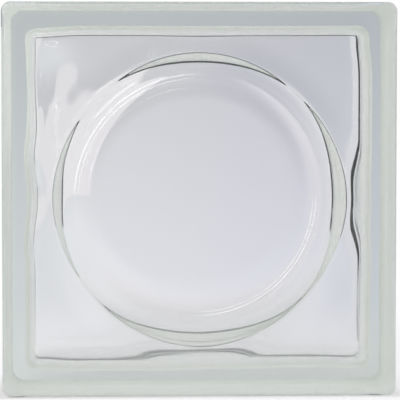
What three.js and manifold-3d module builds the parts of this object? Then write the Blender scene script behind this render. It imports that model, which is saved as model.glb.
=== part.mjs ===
// A hollow glass block, 190 x 190 x 80 mm, with a round relief pressed into the inner side of both face
// plates. It is two pressed half shells of clear glass, fused edge to edge along the middle of the sides.
// Millimetres. +Z is up, the front face looks along -Y, and the block stands on its lower flanges at z = 0.

import * as THREE from "three";
import { mergeVertices } from "three/addons/utils/BufferGeometryUtils.js";
import Module from "manifold-3d";

const wasm = await Module();
wasm.setup();

// The block as a whole.
const FACE_SIZE = 190; // width and height over the flanges
const BLOCK_DEPTH = 80; // from face to face

// The flange round each face, and the mortar channel between the two flanges.
const EDGE_ROUNDING = 2.5; // of the face's outer edge
const FLANGE_CORNER = 4.5; // radius of the flange's corners, seen from the front
const FLANGE_DEPTH = 9.5; // from the face to the end of the flat rim
const SHOULDER_RUN = 5; // depth over which the flange's back slopes down to the channel
const CHANNEL_RECESS = 3.2; // how far the side walls lie inside the flanges
const CHANNEL_CORNER = 18; // radius of the side walls' outer corners

// The bead that the two halves leave where they are fused.
const SEAM_BEAD_HEIGHT = 0.8;
const SEAM_BEAD_REACH = 3; // from the seam to where the bead runs out into the channel

// The hollow inside.
const PLATE_THICKNESS = 13; // of the face plate, outside the relief
const WALL_THICKNESS = 7.8; // of a side wall beside the plate
const WALL_DRAFT = 1; // how much the hollow widens from the plate to the seam
const HOLLOW_CORNER = 6.3; // radius of the hollow's corners, seen from the front
const PLATE_FILLET = 5.2; // between the plate and the side walls

// The round relief: a shallow dish that thins the plate, turned about the block's middle. Each pair is a radius
// and the slope of the dish there, in degrees. It is flat inside the first radius and runs out at the last.
const RELIEF_SLOPES = [
  [48, 0],
  [57, 7],
  [62, 15],
  [65, 21],
  [67.5, 28],
  [69.4, 37.5],
  [70.5, 22],
  [71.5, 9],
  [72.5, 6.2],
  [75, 5.8],
  [77, 4.2],
  [78.8, 0.5],
];

// How finely the round forms are divided.
const EDGE_STEPS = 4; // along each curve of a section; a round takes twice as many
const CORNER_STEPS = 8; // round each corner
const RELIEF_STEPS = 96; // round the relief
const RELIEF_RADIUS_STEP = 1.5; // between points along the dish's slope

const FACE_HALF = FACE_SIZE / 2;
const HALF_DEPTH = BLOCK_DEPTH / 2;
const CHANNEL_HALF = FACE_HALF - CHANNEL_RECESS;
const HOLLOW_HALF = CHANNEL_HALF - WALL_THICKNESS;
const CUT_OVERRUN = 2; // how far a cutting solid runs past the glass it opens

/** Radius of the flange's corner on a contour that lies inside the outermost one. */
function flangeCorner(half) {
  return FLANGE_CORNER - (FACE_HALF - half);
}

/** Radius of the corner on the flange's back and in the channel, which grows as the section goes inwards. */
function channelCorner(half) {
  return THREE.MathUtils.mapLinear(half, FACE_HALF, CHANNEL_HALF, FLANGE_CORNER, CHANNEL_CORNER);
}

/** Radius of the hollow's corner on a contour of the given half width. */
function hollowCorner(half) {
  return HOLLOW_CORNER - (HOLLOW_HALF - half);
}

/** Contours of a section: one { depth, half, corner } for each point, with x as the depth behind the face. */
function contours(section, cornerOf) {
  return section.getPoints(EDGE_STEPS).map((point) => ({
    depth: point.x,
    half: point.y,
    corner: cornerOf(point.y),
  }));
}

/** The points of a square contour with rounded corners, in its own plane. */
function contourPoints({ half, corner }) {
  const points = [];
  for (let quarter = 0; quarter < 4; quarter += 1) {
    const start = (quarter * Math.PI) / 2;
    const middle = new THREE.Vector2(half - corner, half - corner).rotateAround(new THREE.Vector2(), start);
    for (let step = 0; step <= CORNER_STEPS; step += 1) {
      const angle = start + (step / CORNER_STEPS) * (Math.PI / 2);
      points.push(new THREE.Vector2(Math.cos(angle), Math.sin(angle)).multiplyScalar(corner).add(middle));
    }
  }
  return points;
}

/** A closed solid through a row of contours, from the face backwards, with a flat cap on both ends. */
function loft(rows) {
  const positions = [];
  const triangles = [];
  for (const row of rows) {
    for (const point of contourPoints(row)) {
      positions.push(point.x, row.depth - HALF_DEPTH, point.y);
    }
  }
  const count = positions.length / 3 / rows.length;
  for (let row = 0; row + 1 < rows.length; row += 1) {
    for (let column = 0; column < count; column += 1) {
      const a = row * count + column;
      const b = row * count + ((column + 1) % count);
      triangles.push(a, a + count, b, b, a + count, b + count);
    }
  }
  const back = (rows.length - 1) * count;
  for (let column = 1; column + 1 < count; column += 1) {
    triangles.push(0, column, column + 1);
    triangles.push(back, back + column + 1, back + column);
  }
  const geometry = new THREE.BufferGeometry();
  geometry.setAttribute("position", new THREE.Float32BufferAttribute(positions, 3));
  geometry.setIndex(triangles);
  return geometry;
}

/** The geometry as a solid for joining and cutting, with its vertices merged and its empty triangles gone. */
function toSolid(geometry) {
  const bare = geometry.clone();
  bare.deleteAttribute("normal");
  bare.deleteAttribute("uv");
  const merged = mergeVertices(bare);
  const corners = merged.index.array;
  const kept = [];
  for (let i = 0; i < corners.length; i += 3) {
    const [a, b, c] = corners.subarray(i, i + 3);
    if (a !== b && b !== c && c !== a) {
      kept.push(a, b, c);
    }
  }
  const vertProperties = new Float32Array(merged.attributes.position.array);
  return new wasm.Manifold(new wasm.Mesh({ numProp: 3, vertProperties, triVerts: new Uint32Array(kept) }));
}

/** The solid as a geometry with flat normals. */
function toGeometry(solid) {
  const mesh = solid.getMesh();
  const shared = new THREE.BufferGeometry();
  shared.setAttribute("position", new THREE.BufferAttribute(mesh.vertProperties, 3));
  shared.setIndex(new THREE.BufferAttribute(mesh.triVerts, 1));
  const geometry = shared.toNonIndexed();
  geometry.computeVertexNormals();
  return geometry;
}

/** The outside of a half shell: face, flange, shoulder, channel and half of the seam bead. */
function shellOutside() {
  const flange = new THREE.Path();
  flange.moveTo(0, FACE_HALF - EDGE_ROUNDING);
  flange.absarc(EDGE_ROUNDING, FACE_HALF - EDGE_ROUNDING, EDGE_ROUNDING, Math.PI, Math.PI / 2, true);

  const shoulderMiddle = FLANGE_DEPTH + SHOULDER_RUN / 2;
  const shoulderEnd = FLANGE_DEPTH + SHOULDER_RUN;
  const beadStart = HALF_DEPTH - SEAM_BEAD_REACH;
  const back = new THREE.Path();
  back.moveTo(FLANGE_DEPTH, FACE_HALF);
  back.bezierCurveTo(shoulderMiddle, FACE_HALF, shoulderMiddle, CHANNEL_HALF, shoulderEnd, CHANNEL_HALF);
  back.lineTo(beadStart, CHANNEL_HALF);
  back.quadraticCurveTo(
    HALF_DEPTH - SEAM_BEAD_REACH / 2, CHANNEL_HALF,
    HALF_DEPTH, CHANNEL_HALF + SEAM_BEAD_HEIGHT,
  );
  return loft([...contours(flange, flangeCorner), ...contours(back, channelCorner)]);
}

/** The hollow of a half shell, which runs past the seam. */
function shellHollow() {
  const section = new THREE.Path();
  section.moveTo(PLATE_THICKNESS, HOLLOW_HALF - PLATE_FILLET);
  section.absarc(
    PLATE_THICKNESS + PLATE_FILLET, HOLLOW_HALF - PLATE_FILLET, PLATE_FILLET, Math.PI, Math.PI / 2, true,
  );
  section.lineTo(HALF_DEPTH, HOLLOW_HALF + WALL_DRAFT);
  section.lineTo(HALF_DEPTH + CUT_OVERRUN, HOLLOW_HALF + WALL_DRAFT);
  return loft(contours(section, hollowCorner));
}

/** Points down the dish's slope from its edge inwards, with x as the radius and y as the depth behind the face. */
function reliefSlope() {
  const steps = [...RELIEF_SLOPES].reverse();
  const points = [new THREE.Vector2(steps[0][0], PLATE_THICKNESS)];
  for (let i = 0; i + 1 < steps.length; i += 1) {
    const [outer, slopeOutside] = steps[i];
    const [inner, slopeInside] = steps[i + 1];
    const count = Math.ceil((outer - inner) / RELIEF_RADIUS_STEP);
    const run = (outer - inner) / count;
    for (let step = 0; step < count; step += 1) {
      const slope = THREE.MathUtils.lerp(slopeOutside, slopeInside, (step + 1 / 2) / count);
      const rise = run * Math.tan(THREE.MathUtils.degToRad(slope));
      points.push(points.at(-1).clone().sub(new THREE.Vector2(run, rise)));
    }
  }
  return points;
}

/** The dish that the plunger's round face presses into the plate, turned about the block's middle. */
function reliefDish() {
  const slope = reliefSlope().reverse();
  const profile = [
    new THREE.Vector2(0, slope[0].y),
    ...slope,
    new THREE.Vector2(slope.at(-1).x, PLATE_THICKNESS + CUT_OVERRUN),
    new THREE.Vector2(0, PLATE_THICKNESS + CUT_OVERRUN),
  ];
  return new THREE.LatheGeometry(profile, RELIEF_STEPS).translate(0, -HALF_DEPTH, 0);
}

/** One pressed half shell, with its face at the front and its seam at y = 0. */
function halfShell() {
  const pressed = toSolid(shellOutside()).subtract(toSolid(shellHollow()));
  return toGeometry(pressed.subtract(toSolid(reliefDish())));
}

/** A half shell of clear glass with a name, standing on its lower flange and turned about the upright axis. */
function placedHalf(name, geometry, turn) {
  const glass = new THREE.MeshStandardMaterial({ color: 0xd9dfda, roughness: 0.04, metalness: 0 });
  glass.transparent = true;
  glass.opacity = 0.4;
  const mesh = new THREE.Mesh(geometry, glass);
  mesh.name = name;
  mesh.position.set(0, 0, FACE_HALF);
  mesh.rotation.z = turn;
  return mesh;
}

const pressing = halfShell();
const block = new THREE.Group();
block.add(placedHalf("front_half", pressing, 0));
block.add(placedHalf("back_half", pressing, Math.PI));

export default block;
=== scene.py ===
"""Looks of a hollow glass block: two pressed half shells of clear soda-lime glass, fused into one body.

The block stands on its lower flanges, and its front face looks along -Y. All lengths are in metres, in the
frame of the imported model. The glass is one mesh with two skins, the outside and the hollow, so that light bends
at both; the mortar channel round the edge carries a white coat on the same mesh.
"""

import logging
import math
from collections.abc import Callable, Iterable
from dataclasses import dataclass, field
from enum import Enum

import bmesh
import bpy
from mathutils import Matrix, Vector


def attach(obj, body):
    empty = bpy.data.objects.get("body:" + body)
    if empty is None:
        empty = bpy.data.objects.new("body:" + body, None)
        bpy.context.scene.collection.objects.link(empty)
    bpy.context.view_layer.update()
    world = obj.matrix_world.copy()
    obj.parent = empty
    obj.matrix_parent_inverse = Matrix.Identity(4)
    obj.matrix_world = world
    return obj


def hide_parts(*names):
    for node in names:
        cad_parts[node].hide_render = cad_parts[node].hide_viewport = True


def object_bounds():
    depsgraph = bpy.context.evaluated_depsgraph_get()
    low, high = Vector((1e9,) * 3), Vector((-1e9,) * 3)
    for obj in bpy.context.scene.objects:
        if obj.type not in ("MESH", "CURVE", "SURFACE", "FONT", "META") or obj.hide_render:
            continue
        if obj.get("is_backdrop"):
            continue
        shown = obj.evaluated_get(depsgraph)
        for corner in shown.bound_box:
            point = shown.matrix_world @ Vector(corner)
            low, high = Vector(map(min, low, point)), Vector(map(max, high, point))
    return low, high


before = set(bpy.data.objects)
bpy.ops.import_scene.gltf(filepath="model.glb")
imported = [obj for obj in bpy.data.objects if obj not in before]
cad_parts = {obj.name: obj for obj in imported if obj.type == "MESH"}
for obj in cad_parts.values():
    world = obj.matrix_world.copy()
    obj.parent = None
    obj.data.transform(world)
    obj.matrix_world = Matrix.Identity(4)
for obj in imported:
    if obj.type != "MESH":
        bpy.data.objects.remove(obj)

log = logging.getLogger("glass_block")
MM = 0.001
TOUCH = 0.01 * MM  # places closer than this count as one
WELD = 0.001 * MM  # doubles closer than this are merged
ROOT_BODY = "root"

Colour = tuple[float, float, float, float]
Span = tuple[float, float]  # where a change starts and where it ends
Socket = bpy.types.NodeSocket

PLAIN_WHITE: Colour = (1, 1, 1, 1)


# ---------------------------------------------------------------- small helpers


def linear(hex_colour: str) -> Colour:
    """Turns an sRGB hex colour into Blender's linear colour.

    Args:
        hex_colour: six hex digits, such as "d2d4d0".

    Returns:
        The linear red, green and blue, with an alpha of 1.
    """
    channels = [int(hex_colour[i : i + 2], 16) / 255 for i in (0, 2, 4)]
    red, green, blue = (c / 12.92 if c <= 0.04045 else ((c + 0.055) / 1.055) ** 2.4 for c in channels)
    return red, green, blue, 1.0


def add_node(
    tree: bpy.types.NodeTree, kind: str, settings: dict | None = None, **sockets: object
) -> bpy.types.Node:
    """Adds a node with its settings, and fills or links its inputs.

    Args:
        tree: the node tree to add to.
        kind: the node's type name.
        settings: attributes to set on the node itself.
        **sockets: inputs by name, with _ for a space; an output socket is linked, and a value is set.
            A name such as i1 means the input at that index.

    Returns:
        The new node.
    """
    node = tree.nodes.new(kind)
    for name, value in (settings or {}).items():
        setattr(node, name, value)
    for name, value in sockets.items():
        by_index = name[0] == "i" and name[1:].isdigit()
        socket = node.inputs[int(name[1:])] if by_index else node.inputs[name.replace("_", " ")]
        if isinstance(value, Socket):
            tree.links.new(value, socket)
        else:
            socket.default_value = value
    return node


class Axis(Enum):
    """The direction that a flat outline faces when it is added, as a turn about X."""

    FRONT = math.pi / 2
    BACK = -math.pi / 2


# ---------------------------------------------------------------- modelling bench


@dataclass
class Bench:
    """An empty mesh in edit mode, on which one skin is modelled with Blender's own tools.

    Args:
        name: the object's name.
        centre_z: height of the axis that every ring is scaled about.
    """

    name: str
    centre_z: float
    obj: bpy.types.Object = field(init=False)

    def __post_init__(self) -> None:
        """Adds the empty object and enters edit mode on it alone."""
        bpy.ops.object.select_all(action="DESELECT")
        mesh = bpy.data.meshes.new(self.name)
        self.obj = bpy.data.objects.new(self.name, mesh)
        bpy.context.scene.collection.objects.link(self.obj)
        bpy.context.view_layer.objects.active = self.obj
        self.obj.select_set(True)
        bpy.ops.object.mode_set(mode="EDIT")
        bpy.ops.mesh.select_mode(type="EDGE")

    def select(self, test: Callable[[bmesh.types.BMEdge], bool]) -> int:
        """Selects just the edges that pass a test, and returns how many."""
        return self.pick("edges", test)

    def select_faces(self, test: Callable[[bmesh.types.BMFace], bool]) -> int:
        """Selects just the faces that pass a test, and returns how many."""
        return self.pick("faces", test)

    def pick(self, kind: str, test: Callable[[bmesh.types.BMEdge | bmesh.types.BMFace], bool]) -> int:
        """Selects just the edges or just the faces that pass a test.

        Args:
            kind: "edges" or "faces".
            test: says whether one of them is wanted.

        Returns:
            How many are selected.
        """
        bpy.ops.mesh.select_all(action="DESELECT")
        mesh = bmesh.from_edit_mesh(self.obj.data)
        chosen = [part for part in getattr(mesh, kind) if test(part)]
        for part in chosen:
            part.select_set(True)
        bmesh.update_edit_mesh(self.obj.data)
        return len(chosen)

    def rounded_square(
        self, half: float, corner: float, y: float, facing: Axis, steps: int, cuts: int = 0
    ) -> None:
        """Adds a square face with rounded corners.

        Args:
            half: half of the square's side.
            corner: radius of its corners.
            y: its place along the depth.
            facing: the way its normal points.
            steps: edges round each corner.
            cuts: points set evenly along each straight side.
        """
        bpy.ops.mesh.select_all(action="DESELECT")
        bpy.ops.mesh.primitive_plane_add(
            size=2 * half, location=(0, y, self.centre_z), rotation=(facing.value, 0, 0)
        )
        bpy.ops.mesh.bevel(
            affect="VERTICES", offset=corner, segments=steps, profile=0.5, clamp_overlap=False
        )
        if cuts:
            self.select(lambda edge: edge.calc_length() > half)
            bpy.ops.mesh.subdivide(number_cuts=cuts)

    def ring(self, radius: float, y: float, count: int) -> None:
        """Adds an open ring of edges about the depth axis, and leaves it selected.

        Args:
            radius: radius of the ring.
            y: its place along the depth.
            count: how many edges it has.
        """
        bpy.ops.mesh.select_all(action="DESELECT")
        bpy.ops.mesh.primitive_circle_add(
            vertices=count, radius=radius, location=(0, y, self.centre_z), rotation=(Axis.FRONT.value, 0, 0)
        )

    def sweep(self, stations: Iterable[tuple[float, float]]) -> None:
        """Draws the selected loop on through a row of stations, each an extrude and a scale.

        Args:
            stations: (y, half width) pairs; the first one is where the selected loop lies now.
        """
        rest = list(stations)
        y, half = rest.pop(0)
        for next_y, next_half in rest:
            bpy.ops.mesh.extrude_edges_move(TRANSFORM_OT_translate={"value": (0, next_y - y, 0)})
            ratio = next_half / half
            bpy.ops.transform.resize(value=(ratio, 1, ratio), center_override=(0, next_y, self.centre_z))
            y, half = next_y, next_half

    def close(self, inside: bool) -> bpy.types.Object:
        """Mirrors the front half into the back half, and turns every face of the closed skin the right way.

        Args:
            inside: True where the faces look into a hollow.

        Returns:
            The finished object.
        """
        bpy.ops.object.mode_set(mode="OBJECT")
        mirror = self.obj.modifiers.new("fused_halves", "MIRROR")
        mirror.use_axis = (False, True, False)
        mirror.merge_threshold = WELD
        bpy.ops.object.modifier_apply(modifier=mirror.name)
        bpy.ops.object.mode_set(mode="EDIT")
        bpy.ops.mesh.select_all(action="SELECT")
        bpy.ops.mesh.remove_doubles(threshold=WELD)
        bpy.ops.mesh.normals_make_consistent(inside=inside)
        bpy.ops.object.mode_set(mode="OBJECT")
        return self.obj


def at_depth(y: float) -> Callable[[bmesh.types.BMEdge], bool]:
    """A test for edges that lie in the upright plane at this depth."""
    return lambda edge: all(abs(v.co.y - y) < TOUCH for v in edge.verts)


def smooth_step(t: float) -> float:
    """A rise from 0 to 1 that starts and ends level."""
    return t * t * (3 - 2 * t)


def drag_mark(row: int, depth: float) -> float:
    """How far a row of the side lies in from its plain place: marks that the mould drags along the glass.

    Args:
        row: number of the row, which picks its place in an uneven but fixed pattern.
        depth: greatest depth of a mark.
    """
    return depth * (0.5 + 0.3 * math.sin(2.4 * row) + 0.2 * math.sin(5.3 * row + 1))


# ---------------------------------------------------------------- finishes


@dataclass(frozen=True)
class PressedGlass:
    """Clear soda-lime glass, pressed and fire-polished: bright, slightly green in depth, a little uneven."""

    ior: float = 1.52  # soda-lime glass
    roughness: float = 0.0
    tint: str = "72a085"  # what is left of white after a long way through the glass
    density: float = 4.8  # per metre
    ripple_mm: float = 46.0  # width of the soft waves that pressing leaves on the faces
    ripple_depth_mm: float = 0.02
    plate_facing: Span = (0.8, 0.97)  # the waves are only on faces that look along the depth

    def build(self) -> bpy.types.Material:
        """Makes the material."""
        material = bpy.data.materials.new("pressed_soda_lime_glass")
        material.use_nodes = True
        tree = material.node_tree
        tree.nodes.clear()
        place = add_node(tree, "ShaderNodeTexCoord")
        waves = add_node(
            tree, "ShaderNodeTexNoise", Vector=place.outputs["Object"],
            Scale=1 / (self.ripple_mm * MM), Detail=1.0, Roughness=0.4,
        )
        facing = add_node(tree, "ShaderNodeSeparateXYZ", Vector=place.outputs["Normal"])
        facing = add_node(tree, "ShaderNodeMath", {"operation": "ABSOLUTE"}, i0=facing.outputs["Y"])
        on_plate = add_node(
            tree, "ShaderNodeMapRange", Value=facing.outputs[0], From_Min=self.plate_facing[0],
            From_Max=self.plate_facing[1], To_Min=0.0, To_Max=1.0,
        )
        relief = add_node(
            tree, "ShaderNodeBump", Height=waves.outputs["Fac"], Strength=on_plate.outputs[0],
            Distance=self.ripple_depth_mm * MM,
        )
        glass = add_node(
            tree, "ShaderNodeBsdfPrincipled", Base_Color=PLAIN_WHITE, Roughness=self.roughness,
            IOR=self.ior, Transmission_Weight=1.0, Normal=relief.outputs["Normal"],
        )
        depth = add_node(
            tree, "ShaderNodeVolumeAbsorption", Color=linear(self.tint), Density=self.density,
        )
        out = add_node(tree, "ShaderNodeOutputMaterial", Surface=glass.outputs["BSDF"])
        tree.links.new(depth.outputs["Volume"], out.inputs["Volume"])
        return material


@dataclass(frozen=True)
class EdgeCoat:
    """White keying coat for mortar, sprayed on the channel: chalky and gritty outside, smooth against glass.

    Its glass side gives off a little light of its own. That stands for room light which a thin coat lets
    through, and it doesn't follow the lamps: under dimmer light it has to come down with them.
    """

    against_glass: str = "dcdad9"
    outside: str = "d9dad7"
    stain: str = "d1d1cc"  # thinner places, where the spray left less
    roughness: float = 0.85
    grit_mm: float = 0.7  # sand in the coat; the real grains are finer, drawn coarse enough to show
    grit_depth_mm: float = 0.15
    stain_mm: float = 14.0  # width of the uneven places
    stain_share: Span = (0.4, 0.65)  # of the noise, from no stain to full stain
    glow: str = "fbfefb"  # of the glass side's own light
    # strength of that light, and its greater strength on the upper part of the left side, which is a painted
    # highlight there
    shine_through: float = 0.225
    highlight_shine_through: float = 0.305
    highlight_side: Span = (-0.06, -0.09)
    highlight_height: Span = (0.10, 0.14)

    def build(self) -> bpy.types.Material:
        """Makes the material."""
        material = bpy.data.materials.new("white_edge_coat")
        material.use_nodes = True
        material.cycles.emission_sampling = "NONE"
        tree = material.node_tree
        tree.nodes.clear()
        place = add_node(tree, "ShaderNodeTexCoord")
        face = add_node(tree, "ShaderNodeNewGeometry")
        grains = add_node(
            tree, "ShaderNodeTexNoise", Vector=place.outputs["Object"],
            Scale=1 / (self.grit_mm * MM), Detail=3.0,
        )
        patches = add_node(
            tree, "ShaderNodeTexNoise", Vector=place.outputs["Object"],
            Scale=1 / (self.stain_mm * MM), Detail=4.0,
        )
        patches = add_node(
            tree, "ShaderNodeMapRange", Value=patches.outputs["Fac"], From_Min=self.stain_share[0],
            From_Max=self.stain_share[1], To_Min=0.0, To_Max=1.0,
        )
        chalk = add_node(
            tree, "ShaderNodeMix", {"data_type": "RGBA"}, i0=patches.outputs[0], i6=linear(self.outside),
            i7=linear(self.stain),
        )
        colour = add_node(
            tree, "ShaderNodeMix", {"data_type": "RGBA"}, i0=face.outputs["Backfacing"], i6=chalk.outputs[2],
            i7=linear(self.against_glass),
        )
        outside = add_node(
            tree, "ShaderNodeMath", {"operation": "SUBTRACT"}, i0=1.0, i1=face.outputs["Backfacing"]
        )
        relief = add_node(
            tree, "ShaderNodeBump", Height=grains.outputs["Fac"], Strength=outside.outputs[0],
            Distance=self.grit_depth_mm * MM,
        )
        axes = add_node(tree, "ShaderNodeSeparateXYZ", Vector=place.outputs["Object"])
        # painted highlight: the glass side's own light is stronger on the upper part of the left side
        highlight_leftwards = add_node(
            tree, "ShaderNodeMapRange", Value=axes.outputs["X"], From_Min=self.highlight_side[0],
            From_Max=self.highlight_side[1], To_Min=0.0, To_Max=1.0,
        )
        highlight_upwards = add_node(
            tree, "ShaderNodeMapRange", {"interpolation_type": "SMOOTHSTEP"}, Value=axes.outputs["Z"],
            From_Min=self.highlight_height[0], From_Max=self.highlight_height[1], To_Min=self.shine_through,
            To_Max=self.highlight_shine_through,
        )
        share = add_node(
            tree, "ShaderNodeMapRange", Value=highlight_leftwards.outputs[0], From_Min=0.0, From_Max=1.0,
            To_Min=self.shine_through, To_Max=highlight_upwards.outputs[0],
        )
        through = add_node(
            tree, "ShaderNodeMath", {"operation": "MULTIPLY"}, i0=face.outputs["Backfacing"],
            i1=share.outputs[0],
        )
        coat = add_node(
            tree, "ShaderNodeBsdfPrincipled", Base_Color=colour.outputs[2], Roughness=self.roughness,
            Specular_IOR_Level=0.0, Normal=relief.outputs["Normal"], Emission_Color=linear(self.glow),
            Emission_Strength=through.outputs[0],
        )
        add_node(tree, "ShaderNodeOutputMaterial", Surface=coat.outputs["BSDF"])
        return material


# ---------------------------------------------------------------- the block


class Wall(Enum):
    """A side wall of the hollow, as the way out through it: sideways and up."""

    LEFT = (-1, 0)
    RIGHT = (1, 0)
    TOP = (0, 1)
    BOTTOM = (0, -1)


class Half(Enum):
    """One of the two pressed halves, as its side of the seam along the depth."""

    FRONT = -1
    BACK = 1


def bell(distance: float, reach: float) -> float:
    """A soft bell curve: 1 in the middle, about 0.6 one reach away."""
    return math.exp(-0.5 * (distance / reach) ** 2)


@dataclass(frozen=True)
class Swell:
    """A soft oval place where the pressed plate is thicker or thinner, in mm from the block's middle.

    Args:
        x: its middle, sideways.
        z: its middle, up.
        wide: its reach sideways.
        high: its reach up and down.
        thins: how much thinner the plate is in the middle; below zero it is thicker.
    """

    x: float
    z: float
    wide: float
    high: float
    thins: float

    def depth(self, x: float, z: float) -> float:
        """How far the plate's inner face lies nearer the outside at this place, in metres."""
        return self.thins * MM * bell(x / MM - self.x, self.wide) * bell(z / MM - self.z, self.high)


@dataclass(frozen=True)
class Bow:
    """A place where a side wall of the hollow stands a little in or out, in mm.

    Args:
        wall: the side wall.
        along: its middle along the wall, from the block's middle.
        reach: how far it runs along the wall.
        inward: how far the wall stands in; below zero it stands out.
        half: the pressed half that has it; both have it when none is named.
        seam_fade: how far from the seam it has its full size, where one half has it.
    """

    wall: Wall
    along: float
    reach: float
    inward: float
    half: Half | None = None
    seam_fade: float = 12.0

    def shift(self, place: Vector, start: float, width: float) -> Vector:
        """How far a point of the hollow moves, in metres.

        Args:
            place: the point, from the block's middle.
            start: distance from the middle at which the movement sets in.
            width: distance over which it grows to its full size.

        Returns:
            The movement, sideways and up.
        """
        side, up = self.wall.value
        outward = place.x * side + place.z * up - start
        amount = self.inward * MM * smooth_step(min(1.0, max(0.0, outward / width)))
        amount *= bell((place.x * abs(up) + place.z * abs(side)) / MM - self.along, self.reach)
        if self.half:
            from_seam = place.y * self.half.value / (self.seam_fade * MM)
            amount *= smooth_step(min(1.0, max(0.0, from_seam)))
        return Vector((-side * amount, 0, -up * amount))


@dataclass
class GlassBlock:
    """The fused glass block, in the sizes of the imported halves.

    Args:
        low: lowest corner of the block's box.
        high: highest corner of the block's box.
    """

    low: Vector
    high: Vector
    edge_rounding: float = 2.5 * MM
    flange_corner: float = 4.5 * MM
    flange_depth: float = 9.5 * MM
    shoulder_run: float = 5.0 * MM
    channel_recess: float = 3.2 * MM
    channel_corner: float = 6.0 * MM
    bead_height: float = 0.8 * MM
    bead_reach: float = 3.0 * MM
    plate: float = 13.0 * MM
    wall: float = 7.8 * MM
    draft: float = 1.0 * MM
    hollow_corner: float = 6.3 * MM
    fillet: float = 5.2 * MM
    # slope of the round relief by radius, as (mm, degrees)
    relief: tuple[tuple[float, float], ...] = (
        (48.0, 0.0), (57.0, 7.0), (62.0, 15.0), (65.0, 21.0), (67.5, 28.0), (69.4, 37.5),
        (70.5, 22.0), (71.5, 9.0), (72.5, 6.2), (75.0, 5.8), (77.0, 4.2), (79.6, 2.0), (82.0, 0.0),
    )
    relief_step: float = 0.5 * MM
    relief_circle: float = 77.0 * MM
    # pressing leaves both plates and the walls a little uneven; these places and sizes are chosen one by one
    swells: tuple[Swell, ...] = (
        Swell(-75, 52, 4.3, 11, -0.95), Swell(-69, 61, 7, 8, -0.95), Swell(-80, 45, 2.4, 26, -0.5),
        Swell(-50, -77, 20, 4.0, -0.35),
    )
    bows: tuple[Bow, ...] = (
        Bow(Wall.LEFT, 50, 18, 1.4), Bow(Wall.LEFT, 21, 6, -0.9), Bow(Wall.LEFT, -1, 9, 0.9),
        Bow(Wall.LEFT, -1, 9, 0.65, Half.BACK), Bow(Wall.LEFT, -20, 7, -0.8),
        Bow(Wall.RIGHT, 77, 7, 1.4), Bow(Wall.RIGHT, 9, 6, 0.45),
        Bow(Wall.RIGHT, -14, 6, 0.6), Bow(Wall.RIGHT, -60, 15, 0.7),
        Bow(Wall.TOP, 0, 70, 0.5), Bow(Wall.TOP, -78, 9, 1.3),
        Bow(Wall.BOTTOM, 52, 26, 1.8), Bow(Wall.BOTTOM, 3, 12, 0.6), Bow(Wall.BOTTOM, -76, 6, 1.0),
        Bow(Wall.BOTTOM, -45, 20, 0.7), Bow(Wall.BOTTOM, -23, 8, 0.9, Half.BACK),
        Bow(Wall.BOTTOM, 23, 8, 0.9, Half.BACK),
    )
    bow_width: float = 14.0 * MM
    drag: float = 0.04 * MM
    rim_marks: int = 6
    wall_marks: int = 14
    bead_gap: float = 0.3 * MM  # between the last mark and the bead
    face_inset: float = 0.3 * MM  # a narrow row that keeps the face flat up to its rounded edge
    fillet_gap: float = 1.0 * MM  # between the fillet and the nearest mark on the wall
    relief_lift: float = 1.0 * MM  # the relief is drawn this much nearer the front, and moved home at the end
    middle_inset: float = 2.0 * MM  # of the last row on the relief's flat middle
    corner_steps: int = 10
    curve_steps: int = 10
    fillet_steps: int = 14
    bridge_cuts: int = 20
    ring_steps: int = 256

    def __post_init__(self) -> None:
        """Works out the sizes that follow from the frame."""
        self.half = (self.high.x - self.low.x) / 2
        self.half_depth = (self.high.y - self.low.y) / 2
        self.centre_z = (self.low.z + self.high.z) / 2
        self.front = -self.half_depth
        self.channel_half = self.half - self.channel_recess
        self.hollow_half = self.channel_half - self.wall

    def outer_skin(self) -> bpy.types.Object:
        """The outside of the front half: face, flange, shoulder, channel and half of the seam bead.

        Returns:
            The outside, mirrored into a whole.
        """
        bench = Bench("outer_skin", self.centre_z)
        bench.rounded_square(self.half, self.flange_corner, self.front, Axis.FRONT, self.corner_steps)
        rim_end = self.front + self.flange_depth
        rows = [(self.front, self.half)]
        flat_rim = self.flange_depth - self.edge_rounding
        for i in range(self.rim_marks):
            y = self.front + self.edge_rounding + flat_rim * (i + 0.5) / self.rim_marks
            rows.append((y, self.half - drag_mark(i, self.drag)))
        rows.append((rim_end, self.half))
        for i in range(1, self.curve_steps + 1):
            t = i / self.curve_steps
            rows.append((rim_end + t * self.shoulder_run, self.half - smooth_step(t) * self.channel_recess))
        start, end = rows[-1][0], -self.bead_reach - self.bead_gap
        for i in range(1, self.wall_marks):
            y = start + (end - start) * i / (self.wall_marks - 1)
            rows.append((y, self.channel_half - drag_mark(i, self.drag)))
        for i in range(self.curve_steps + 1):
            t = i / self.curve_steps
            rows.append((-(1 - t) * self.bead_reach, self.channel_half + smooth_step(t) * self.bead_height))
        bench.select(at_depth(self.front))
        bench.sweep(rows)
        bench.select(at_depth(self.front))
        bpy.ops.mesh.bevel(
            affect="EDGES", offset=self.edge_rounding, segments=self.curve_steps, profile=0.5,
            clamp_overlap=False,
        )
        bench.select_faces(lambda face: face.calc_area() > self.half * self.half)
        bpy.ops.mesh.inset(thickness=self.face_inset)
        self.round_channel(bench, rows)
        return bench.close(inside=False)

    def round_channel(self, bench: Bench, rows: Iterable[tuple[float, float]]) -> None:
        """Widens the corners behind the flange, from the flange's radius to the channel's.

        Args:
            bench: the outside skin.
            rows: its stations, as (y, half width) pairs.
        """
        mesh = bmesh.from_edit_mesh(bench.obj.data)
        for y, half in rows:
            inset = (self.half - half) / self.channel_recess
            radius = self.flange_corner * half / self.half
            growth = (self.flange_corner + (self.channel_corner - self.flange_corner) * inset) / radius
            start = half - radius - TOUCH
            for vertex in mesh.verts:
                x, z = vertex.co.x, vertex.co.z - self.centre_z
                if inset > 0 and abs(vertex.co.y - y) < TOUCH and min(abs(x), abs(z)) > start:
                    corner = Vector((math.copysign(half, x), y, self.centre_z + math.copysign(half, z)))
                    vertex.co = corner + (vertex.co - corner) * growth
        bmesh.update_edit_mesh(bench.obj.data)

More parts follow.
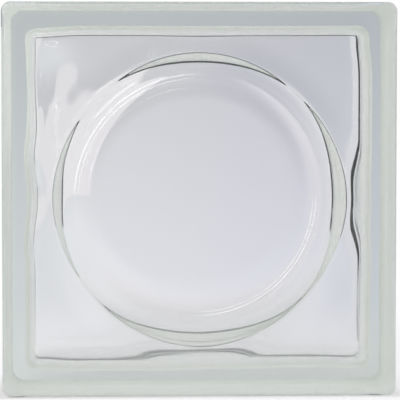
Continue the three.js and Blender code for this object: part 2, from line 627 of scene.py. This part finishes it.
    def relief_depths(self) -> list[tuple[float, float]]:
        """Depth of the relief by radius.

        Returns:
            Pairs of radius and depth, from the relief's edge inwards.
        """
        points = [(self.relief[-1][0] * MM, 0.0)]
        for (inner, low_slope), (outer, high_slope) in reversed(list(zip(self.relief, self.relief[1:]))):
            count = max(1, round((outer - inner) * MM / self.relief_step))
            width = (outer - inner) * MM / count
            for i in range(count):
                share = 1 - (i + 0.5) / count
                slope = low_slope + (high_slope - low_slope) * share
                radius, depth = points[-1]
                points.append((radius - width, depth + width * math.tan(math.radians(slope))))
        return points

    def depth_at(self, radius: float) -> float:
        """Depth of the relief at a radius.

        Args:
            radius: distance from the block's middle.

        Returns:
            How far the inner face lies nearer the front there.
        """
        points = self.relief_depths()
        if radius >= points[0][0]:
            return 0.0
        for (outer, shallow), (inner, deep) in zip(points, points[1:]):
            if radius >= inner:
                return shallow + (deep - shallow) * (outer - radius) / (outer - inner)
        return points[-1][1]

    def hollow_skin(self) -> bpy.types.Object:
        """The inside of the front half: side walls, fillet, plate and round relief.

        Returns:
            The hollow, mirrored into a whole.
        """
        bench = Bench("hollow_skin", self.centre_z)
        surface = self.front + self.plate
        cuts = self.ring_steps // 4 - self.corner_steps - 1
        bench.rounded_square(self.hollow_half, self.hollow_corner, surface, Axis.BACK, self.corner_steps, cuts)
        bench.select(at_depth(surface))
        wall_end = surface + self.fillet + self.fillet_gap
        rows = [(surface, self.hollow_half)]
        for i in range(self.wall_marks):
            y = wall_end * (1 - i / self.wall_marks)
            half = self.hollow_half + self.draft * (y - surface) / -surface
            rows.append((y, half - (drag_mark(i, self.drag) if i else 0)))
        bench.sweep(rows + [(0.0, self.hollow_half + self.draft)])
        bench.select(at_depth(surface))
        bpy.ops.mesh.bevel(
            affect="EDGES", offset=self.fillet, segments=self.fillet_steps, profile=0.5, clamp_overlap=False
        )
        bench.select_faces(lambda face: face.calc_area() > self.relief_circle**2)
        bpy.ops.mesh.delete(type="ONLY_FACE")
        # the relief is drawn a little nearer the front, so that the bridge between loops has a direction
        lifted = surface - self.relief_lift
        rim = (lifted, self.relief_circle)
        rows = [(surface - depth - self.relief_lift, radius) for radius, depth in self.relief_depths()]
        rows = [rim] + [row for row in rows if row[1] < self.relief_circle]
        rows.append((rows[-1][0], rows[-1][1] - self.middle_inset))
        bench.ring(rim[1], rim[0], self.ring_steps)
        bench.sweep(rows)
        bpy.ops.mesh.edge_face_add()

        def bridged(edge: bmesh.types.BMEdge) -> bool:
            """True for the open rim of the relief and the open contour of the plate."""
            return edge.is_boundary and (at_depth(surface)(edge) or at_depth(lifted)(edge))

        count = bench.select(bridged)
        log.info("bridged %d edges, relief %.2f mm deep", count, (lifted - rows[-1][0]) / MM)
        bpy.ops.mesh.bridge_edge_loops(
            number_cuts=self.bridge_cuts, interpolation="LINEAR", profile_shape_factor=0.0
        )
        self.settle(bench, surface)
        hollow = bench.close(inside=True)
        self.bow_walls(hollow)
        return hollow

    def settle(self, bench: Bench, surface: float) -> None:
        """Moves the relief home, lets its faint outer slope run out, and makes the plate a little uneven.

        Args:
            bench: the hollow's skin.
            surface: depth of the plate's inner face.
        """
        mesh = bmesh.from_edit_mesh(bench.obj.data)
        for vertex in mesh.verts:
            radius = math.hypot(vertex.co.x, vertex.co.z - self.centre_z)
            if radius < self.relief_circle - TOUCH:
                vertex.co.y += self.relief_lift
                fade = 1.0
            elif vertex.co.y < surface + self.fillet:
                fade = 1 - max(0.0, vertex.co.y - surface) / self.fillet
                vertex.co.y = max(vertex.co.y, surface) - self.depth_at(radius) * fade
            else:
                fade = 0.0
            x, z = vertex.co.x, vertex.co.z - self.centre_z
            vertex.co.y -= fade * sum(swell.depth(x, z) for swell in self.swells)
        bmesh.update_edit_mesh(bench.obj.data)

    def bow_walls(self, hollow: bpy.types.Object) -> None:
        """Lets the hollow's side walls stand a little in and out.

        Args:
            hollow: the whole hollow.
        """
        start = self.hollow_half + self.draft - self.bow_width
        for vertex in hollow.data.vertices:
            place = vertex.co - Vector((0, 0, self.centre_z))
            for bow in self.bows:
                vertex.co += bow.shift(place, start, self.bow_width - self.fillet)

    def build(self) -> bpy.types.Object:
        """Dresses both skins and joins them.

        Returns:
            The finished block.
        """
        glass, coat = PressedGlass().build(), EdgeCoat().build()
        outer, hollow = self.outer_skin(), self.hollow_skin()
        bpy.ops.object.select_all(action="DESELECT")
        for skin in (outer, hollow):
            skin.data.materials.append(glass)
            skin.select_set(True)
        outer.data.materials.append(coat)
        coat_start = self.half_depth - self.flange_depth
        for face in outer.data.polygons:
            if abs(face.center.y) < coat_start:
                face.material_index = 1
        bpy.context.view_layer.objects.active = outer
        bpy.ops.object.join()
        outer.name = outer.data.name = "glass_block"
        bpy.ops.object.shade_smooth()
        return outer


# ---------------------------------------------------------------- stage, light and camera


@dataclass
class Surroundings:
    """What a ray meets when it leaves the block, as a colour by its direction; the far floor shows the same.

    White to the camera; to glass a pale backdrop, a dark ring round it and a bright room; to matt surfaces
    soft light from all round. Colours are in linear light, and those above 1 are lamps. A span of directions is
    in shares of the ray's length, unless it says otherwise.

    Args:
        tree: the world's or the floor's node tree.
        direction: the way the ray runs.
    """

    tree: bpy.types.NodeTree
    direction: Socket
    # the dark ring round the backdrop, from its left to its right, and the pale floor below it
    dark_left: Colour = (0.04, 0.04, 0.045, 1)
    dark_right: Colour = (0.03, 0.03, 0.032, 1)
    dark_sides: Span = (-0.5, 0.2)
    low: Colour = (0.8, 0.8, 0.84, 1)
    dark_foot: Span = (-0.078, -0.115)
    # the room in front of the block, dim behind the camera; angles are degrees from straight behind the block
    dim: Colour = (0.2, 0.2, 0.2, 1)
    lit: Colour = (0.8, 0.8, 0.8, 1)
    dim_turn: Span = (140, 120)
    dark_turn: Span = (96, 88)
    # a round lamp round the lens, of which two curved tubes show, up and to its left, in degrees off the lens
    tube: Colour = (6.0, 6.0, 6.0, 1)
    tubes: tuple[Span, ...] = ((28.5, 31.0), (38.0, 42.0))
    tube_edge: float = 0.5
    tube_corner: Span = (-0.08, 0.08)
    # a round lamp high up at the left, which the corners catch
    lamp: Colour = (5.0, 5.0, 5.0, 1)
    lamp_way: tuple[float, float, float] = (-0.62, -0.32, 0.71)
    lamp_turn: Span = (14, 10)
    # the backdrop, from low to high, and darker and then plain to the right
    sheet_low: Colour = (0.90, 0.90, 0.95, 1)
    sheet_high: Colour = (0.69, 0.685, 0.725, 1)
    sheet_rise: Span = (-0.13, 0.08)
    sheet_shade: Colour = (0.90, 0.90, 0.95, 1)
    shade_sides: Span = (-0.02, 0.14)
    sheet_right: Colour = (0.815, 0.80, 0.86, 1)
    right_sides: Span = (0.14, 0.35)
    # a white panel at the backdrop's left; its spans are slopes
    panel: Colour = (0.93, 0.90, 0.94, 1)
    panel_edge: Span = (-0.08, -0.10)
    panel_foot: Span = (-0.052, -0.042)
    # where the backdrop ends, in degrees from straight behind the block: right, left and top
    sheet_away: Span = (0.0, 0.1)
    sheet_ends: tuple[Span, ...] = ((39, 36), (-40, -37), (32, 28.5))
    # the even light on matt surfaces, from low to high
    even_low: Colour = (1.05, 1.02, 1.05, 1)
    even_high: Colour = (0.99, 0.96, 0.99, 1)
    even_rise: Span = (-0.2, 0.6)

    def ramp(self, value: Socket, start: float, end: float) -> Socket:
        """A smooth rise from 0 to 1 as the value goes from start to end."""
        node = add_node(
            self.tree, "ShaderNodeMapRange", {"interpolation_type": "SMOOTHSTEP"}, Value=value,
            From_Min=start, From_Max=end, To_Min=0.0, To_Max=1.0,
        )
        return node.outputs[0]

    def blend(self, factor: Socket, first: object, second: object, kind: str = "MIX") -> Socket:
        """A colour between first and second, each a plain colour or a socket."""
        node = add_node(
            self.tree, "ShaderNodeMix", {"data_type": "RGBA", "blend_type": kind},
            i0=factor, i6=first, i7=second,
        )
        return node.outputs[2]

    def maths(self, operation: str, first: object, second: object) -> Socket:
        """One sum on two values, kept between 0 and 1 where it is a SUBTRACT."""
        settings = {"operation": operation, "use_clamp": operation == "SUBTRACT"}
        return add_node(self.tree, "ShaderNodeMath", settings, i0=first, i1=second).outputs[0]

    @staticmethod
    def slope(degrees: float) -> float:
        """Sideways over away, for a direction turned this far from straight behind the block."""
        return math.tan(math.radians(degrees))

    @staticmethod
    def turned(degrees: float) -> float:
        """The away share of a direction that is turned this far from straight behind the block."""
        return math.cos(math.radians(degrees))

    def turn(self, away: Socket, degrees: Span) -> Socket:
        """A smooth rise from 0 to 1 as a direction turns from the first angle to the second."""
        return self.ramp(away, self.turned(degrees[0]), self.turned(degrees[1]))

    def room(self, side: Socket, away: Socket, up: Socket) -> Socket:
        """The room as glass shows it: dim behind the camera, dark round the backdrop.

        Args:
            side: the direction's share to the right.
            away: its share away from the camera.
            up: its share upwards.

        Returns:
            The room's colour that way.
        """
        dark = self.blend(self.ramp(side, *self.dark_sides), self.dark_left, self.dark_right)
        dark = self.blend(self.ramp(up, *self.dark_foot), dark, self.low)
        bright = self.blend(self.turn(away, self.dim_turn), self.dim, self.lit)
        start, end = self.tube_corner
        corner = self.maths("MULTIPLY", self.ramp(side, end, start), self.ramp(up, start, end))
        for near, far in self.tubes:
            tube = self.maths(
                "MULTIPLY", self.turn(away, (180 - near, 180 - near - self.tube_edge)),
                self.turn(away, (180 - far, 180 - far + self.tube_edge)),
            )
            bright = self.blend(self.maths("MULTIPLY", tube, corner), bright, self.tube)
        way = Vector(self.lamp_way).normalized()
        toward = add_node(
            self.tree, "ShaderNodeVectorMath", {"operation": "DOT_PRODUCT"}, i0=self.direction, i1=way
        )
        bright = self.blend(self.turn(toward.outputs["Value"], self.lamp_turn), bright, self.lamp)
        return self.blend(self.turn(away, self.dark_turn), bright, dark)

    def backdrop(self, side: Socket, away: Socket, up: Socket) -> Socket:
        """The backdrop, lighter low down and to the left, with a white panel standing at its left.

        Args:
            side: the direction's share to the right.
            away: its share away from the camera.
            up: its share upwards.

        Returns:
            The backdrop's colour that way.
        """
        sheet = self.blend(self.ramp(up, *self.sheet_rise), self.sheet_low, self.sheet_high)
        sheet = self.blend(self.ramp(side, *self.shade_sides), sheet, self.sheet_shade, "MULTIPLY")
        sheet = self.blend(self.ramp(side, *self.right_sides), sheet, self.sheet_right)
        # the panel has a straight edge, and its foot is at the height of the lens
        across, rise = self.maths("DIVIDE", side, away), self.maths("DIVIDE", up, away)
        panel = self.maths("MULTIPLY", self.ramp(across, *self.panel_edge), self.ramp(rise, *self.panel_foot))
        return self.blend(panel, sheet, self.panel)

    def window(self, side: Socket, away: Socket, up: Socket) -> Socket:
        """How far the backdrop fills the view.

        Args:
            side: the direction's share to the right.
            away: its share away from the camera.
            up: its share upwards.

        Returns:
            1 on the backdrop, 0 beyond its edges.
        """
        across, rise = self.maths("DIVIDE", side, away), self.maths("DIVIDE", up, away)
        share = self.ramp(away, *self.sheet_away)
        for value, (outer, inner) in zip((across, across, rise), self.sheet_ends):
            share = self.maths("MULTIPLY", share, self.ramp(value, self.slope(outer), self.slope(inner)))
        return share

    def colour(self) -> Socket:
        """Sorts the rays by kind.

        Returns:
            The colour for every kind of ray.
        """
        ray = add_node(self.tree, "ShaderNodeLightPath")
        split = add_node(self.tree, "ShaderNodeSeparateXYZ", Vector=self.direction)
        axes = [split.outputs[axis] for axis in "XYZ"]
        seen = self.blend(self.window(*axes), self.room(*axes), self.backdrop(*axes))
        even = self.blend(self.ramp(axes[2], *self.even_rise), self.even_low, self.even_high)
        shown = self.maths("MAXIMUM", ray.outputs["Is Glossy Ray"], ray.outputs["Is Transmission Ray"])
        shown = self.maths("SUBTRACT", shown, ray.outputs["Diffuse Depth"])
        return self.blend(ray.outputs["Is Camera Ray"], self.blend(shown, even, seen), PLAIN_WHITE)


@dataclass
class Studio:
    """Pale floor, surrounding light and camera.

    Args:
        block: the block that the camera looks at.
    """

    block: GlassBlock
    camera_distance: float = 1070 * MM
    camera_elevation: float = math.radians(2.8)
    camera_side: float = math.radians(-2.4)
    face_width_px: float = 396.0
    frame_px: float = 400.0
    box_distance: float = 1.3
    box_inner_edge: float = 0.30
    box_width: float = 1.3
    box_height: float = 1.4
    box_watts: float = 12.8
    sensor_mm: float = 36.0
    floor_size: float = 6.0
    floor_fade: Span = (0.1, 0.55)  # from the near floor to the surroundings, by distance from the middle
    floor_glow: float = 0.6  # share of plain white in the near floor, for the camera alone
    floor_paint: Colour = (0.82, 0.825, 0.838, 1)
    # stage only: a painted contact shadow, greyer under the block and close round its foot, which darkens the
    # line of its lower edge
    painted_contact_shadow: Colour = (0.375, 0.38, 0.375, 1)
    painted_shadow_fade: Span = (0.041, 0.046)
    painted_shadow_fold: float = 55 * MM  # half of the 110 mm by which the block is wider than deep

    def floor(self) -> None:
        """A wide pale floor under the block, with a painted contact shadow round its foot, which passes into the
        backdrop with distance.
        """
        bpy.ops.object.select_all(action="DESELECT")
        bpy.ops.mesh.primitive_plane_add(size=self.floor_size, location=(0, 0, 0))
        floor = bpy.context.active_object
        floor.name = "floor"
        material = bpy.data.materials.new("pale_floor")
        material.use_nodes = True
        # the far floor is a wide, even light, which is best left to be found by chance
        material.cycles.emission_sampling = "NONE"
        tree = material.node_tree
        tree.nodes.clear()
        ray = add_node(tree, "ShaderNodeLightPath")
        place = add_node(tree, "ShaderNodeTexCoord")
        far = add_node(tree, "ShaderNodeVectorMath", {"operation": "LENGTH"}, i0=place.outputs["Object"])
        fade = add_node(
            tree, "ShaderNodeMapRange", {"interpolation_type": "SMOOTHSTEP"}, Value=far.outputs["Value"],
            From_Min=self.floor_fade[0], From_Max=self.floor_fade[1], To_Min=0.0, To_Max=1.0,
        )
        # painted contact shadow: the floor is greyer in a box round the block's footprint, and fades to its plain
        # paint just outside it
        folded = add_node(tree, "ShaderNodeVectorMath", {"operation": "ABSOLUTE"}, i0=place.outputs["Object"])
        folded = add_node(
            tree, "ShaderNodeVectorMath", {"operation": "SUBTRACT"}, i0=folded.outputs[0],
            i1=(self.painted_shadow_fold, 0, 0),
        )
        split = add_node(tree, "ShaderNodeSeparateXYZ", Vector=folded.outputs[0])
        reach = add_node(
            tree, "ShaderNodeMath", {"operation": "MAXIMUM"}, i0=split.outputs[0], i1=split.outputs[1]
        )
        outside_painted_shadow = add_node(
            tree, "ShaderNodeMapRange", {"interpolation_type": "SMOOTHSTEP"}, Value=reach.outputs[0],
            From_Min=self.painted_shadow_fade[0], From_Max=self.painted_shadow_fade[1], To_Min=0.0, To_Max=1.0,
        )
        floor_and_painted_shadow = add_node(
            tree, "ShaderNodeMix", {"data_type": "RGBA"}, i0=outside_painted_shadow.outputs[0], i6=self.painted_contact_shadow,
            i7=self.floor_paint,
        )
        matt = add_node(tree, "ShaderNodeBsdfDiffuse", Color=floor_and_painted_shadow.outputs[2])
        white = add_node(tree, "ShaderNodeEmission", Color=PLAIN_WHITE, Strength=1.0)
        share = add_node(
            tree, "ShaderNodeMath", {"operation": "MULTIPLY"}, i0=ray.outputs["Is Camera Ray"],
            i1=self.floor_glow,
        )
        near = add_node(
            tree, "ShaderNodeMixShader", i0=share.outputs[0], i1=matt.outputs[0], i2=white.outputs[0]
        )
        back = add_node(tree, "ShaderNodeNewGeometry")
        onward = add_node(
            tree, "ShaderNodeVectorMath", {"operation": "SCALE"}, Vector=back.outputs["Incoming"], Scale=-1.0
        )
        seen = add_node(
            tree, "ShaderNodeEmission", Color=Surroundings(tree, onward.outputs[0]).colour(), Strength=1.0
        )
        passed = add_node(
            tree, "ShaderNodeMixShader", i0=fade.outputs[0], i1=near.outputs[0], i2=seen.outputs[0]
        )
        add_node(tree, "ShaderNodeOutputMaterial", Surface=passed.outputs[0])
        floor.data.materials.append(material)
        floor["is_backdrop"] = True

    def world(self) -> None:
        """The surroundings on all sides."""
        world = bpy.data.worlds.new("studio")
        bpy.context.scene.world = world
        world.use_nodes = True
        tree = world.node_tree
        tree.nodes.clear()
        place = add_node(tree, "ShaderNodeTexCoord")
        colour = Surroundings(tree, place.outputs["Generated"]).colour()
        light = add_node(tree, "ShaderNodeBackground", Color=colour, Strength=1.0)
        add_node(tree, "ShaderNodeOutputWorld", Surface=light.outputs[0])

    def softbox(self) -> None:
        """One large soft box up and to the left of the camera, its lower edge level with the block's middle."""
        lamp = bpy.data.lights.new("soft_box", "AREA")
        lamp.shape = "RECTANGLE"
        lamp.size, lamp.size_y = self.box_width, self.box_height
        lamp.energy = self.box_watts
        box = bpy.data.objects.new("soft_box", lamp)
        box.location = (
            -self.box_inner_edge - self.box_width / 2, -self.box_distance,
            self.block.centre_z + self.box_height / 2,
        )
        box.rotation_euler = (math.pi / 2, 0, 0)
        box.visible_glossy = box.visible_transmission = False
        bpy.context.scene.collection.objects.link(box)

    def camera(self) -> None:
        """A long lens straight at the front face, a little high and to the left."""
        data = bpy.data.cameras.new("camera")
        data.sensor_width = self.sensor_mm
        fills = self.face_width_px / self.frame_px
        data.lens = data.sensor_width * fills * self.camera_distance / (2 * self.block.half)
        camera = bpy.data.objects.new("camera", data)
        target = Vector((0, self.block.front, self.block.centre_z))
        up, side = self.camera_elevation, self.camera_side
        back = Vector((math.sin(side) * math.cos(up), -math.cos(side) * math.cos(up), math.sin(up)))
        camera.location = target + back * self.camera_distance
        camera.rotation_euler = (-back).to_track_quat("-Z", "Y").to_euler()
        bpy.context.scene.collection.objects.link(camera)
        bpy.context.scene.camera = camera

    def build(self) -> None:
        """Sets up the whole studio."""
        self.floor()
        self.world()
        self.softbox()
        self.camera()
        scene = bpy.context.scene
        scene.view_settings.view_transform = "Standard"
        scene.cycles.max_bounces = 64
        scene.cycles.transmission_bounces = 48
        scene.cycles.glossy_bounces = 32
        scene.cycles.diffuse_bounces = 24
        scene.cycles.blur_glossy = 0.0
        # through clear glass the denoiser's guides are noisy, and would break fine lines into stitches
        scene.cycles.denoising_input_passes = "RGB"


def main() -> None:
    """Builds the block and the studio."""
    logging.basicConfig(level=logging.INFO, format="%(message)s")
    cad_low, cad_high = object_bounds()
    sizes = GlassBlock(cad_low, cad_high)
    block = sizes.build()
    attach(block, ROOT_BODY)
    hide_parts("front_half", "back_half")
    log.info("glass_block: %d faces", len(block.data.polygons))
    Studio(sizes).build()


if __name__ == "__main__":
    main()
